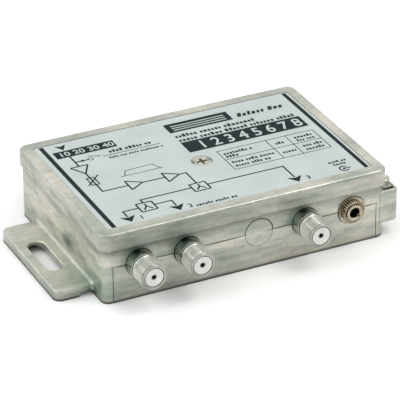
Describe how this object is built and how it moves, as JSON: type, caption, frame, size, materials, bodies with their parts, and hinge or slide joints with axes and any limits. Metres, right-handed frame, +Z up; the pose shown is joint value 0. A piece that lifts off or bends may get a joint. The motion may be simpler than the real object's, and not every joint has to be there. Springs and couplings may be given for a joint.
{
  "type": "tv signal amplifier",
  "caption": "Die-cast television signal amplifier with threaded coaxial ports, a supply jack, an earth terminal and a slotted fixing ear.",
  "frame": {"origin": "middle of the case's footprint on the surface it stands on", "axes": "+X along the case towards the earth terminal, -Y out of the wall with the outputs, +Z up"},
  "size_m": [0.1242, 0.0936, 0.0262],
  "materials": {
    "cast_metal": "die-cast, matte with a soft sheen and faint flow marks",
    "label_film": "satin printed film",
    "nickel_plate": "satin nickel plate",
    "white_insulator": "moulded white plastic",
    "contact_metal": "bright plated spring bronze",
    "jack_metal": "pale gold plate over brass",
    "screw_steel": "zinc-plated steel",
    "black_plastic": "moulded black plastic",
    "board_laminate": "glass laminate with green lacquer",
    "tinned_metal": "tinned sheet and leads",
    "ferrite": "sintered ferrite",
    "enamel_wire": "enamelled copper wire",
    "capacitor_can": "bright drawn can",
    "resistor_ceramic": "ceramic chip with black glaze",
    "capacitor_ceramic": "bare tan ceramic chip",
    "blue_plastic": "moulded blue plastic",
    "rotor_plastic": "moulded pale plastic"
  },
  "bodies": {
    "base": {"base_cover": "cast_metal", "jack_bush": "jack_metal", "jack_body": "black_plastic", "jack_lugs": "tinned_metal", "jack_washer": "jack_metal", "circuit_board": "board_laminate", "board_screws": "screw_steel", "input_amplifier": "black_plastic", "driver_amplifier": "black_plastic", "output_amplifier": "black_plastic", "supply_regulator": "black_plastic", "package_leads": "tinned_metal", "splitter_core_1": "ferrite", "splitter_core_2": "ferrite", "splitter_wires": "enamel_wire", "supply_capacitors": "capacitor_can", "supply_chokes": "ferrite", "chip_resistors": "resistor_ceramic", "chip_capacitors": "capacitor_ceramic", "shield_wall": "tinned_metal", "trimmer_body": "blue_plastic", "switch_body": "tinned_metal", "output_1_shell": "nickel_plate", "output_1_insulator": "white_insulator", "output_1_contact": "contact_metal", "output_2_shell": "nickel_plate", "output_2_insulator": "white_insulator", "output_2_contact": "contact_metal", "output_3_shell": "nickel_plate", "output_3_insulator": "white_insulator", "output_3_contact": "contact_metal", "input_shell": "nickel_plate", "input_insulator": "white_insulator", "input_contact": "contact_metal"},
    "housing": {"top_housing": "cast_metal", "label_plate": "label_film"},
    "cover_screw": {"cover_screw": "screw_steel"},
    "earth_clamp": {"earth_clamp": "screw_steel"},
    "earth_screw": {"earth_screw": "screw_steel"},
    "jack_nut": {"jack_nut": "jack_metal"},
    "jack_tip_spring": {"jack_tip_spring": "contact_metal"},
    "level_rotor": {"trimmer_rotor": "rotor_plastic"},
    "switch_slider": {"switch_slider": "black_plastic"}
  },
  "joints": [
    {"name": "housing_lift", "type": "slide", "parent": "base", "child": "housing", "axis": [0, 0, 1], "range_m": [0, 0.045]},
    {"name": "cover_screw_turn", "type": "hinge", "parent": "housing", "child": "cover_screw", "pos_m": [-0.0007, -0.0021, 0.02], "axis": [0, 0, 1], "continuous": true},
    {"name": "earth_clamp_lift", "type": "slide", "parent": "housing", "child": "earth_clamp", "axis": [0, 0, 1], "range_m": [0, 0.000875]},
    {"name": "earth_screw_turn", "type": "hinge", "parent": "earth_clamp", "child": "earth_screw", "pos_m": [0.0554, -0.0286, 0.015], "axis": [0, 0, 1], "continuous": true},
    {"name": "jack_nut_turn", "type": "hinge", "parent": "base", "child": "jack_nut", "pos_m": [0.0396, -0.0367, 0.0134], "axis": [0, -1, 0], "continuous": true},
    {"name": "jack_tip_spring_bend", "type": "hinge", "parent": "base", "child": "jack_tip_spring", "pos_m": [0.0396, -0.0231, 0.01773], "axis": [-1, 0, 0], "range_deg": [0, 8.5], "stiffness_Nm_per_rad": 0.01},
    {"name": "level_turn", "type": "hinge", "parent": "base", "child": "level_rotor", "pos_m": [-0.04, 0.00062, 0.0147], "axis": [0, 0, 1], "range_deg": [0, 270]},
    {"name": "cable_supply_switch_slide", "type": "slide", "parent": "base", "child": "switch_slider", "axis": [1, 0, 0], "range_m": [0, 0.003]}
  ],
  "couplings": [
    {"joint": "earth_screw_turn", "follows": "earth_clamp_lift", "rad_per_m": 12566}
  ]
}
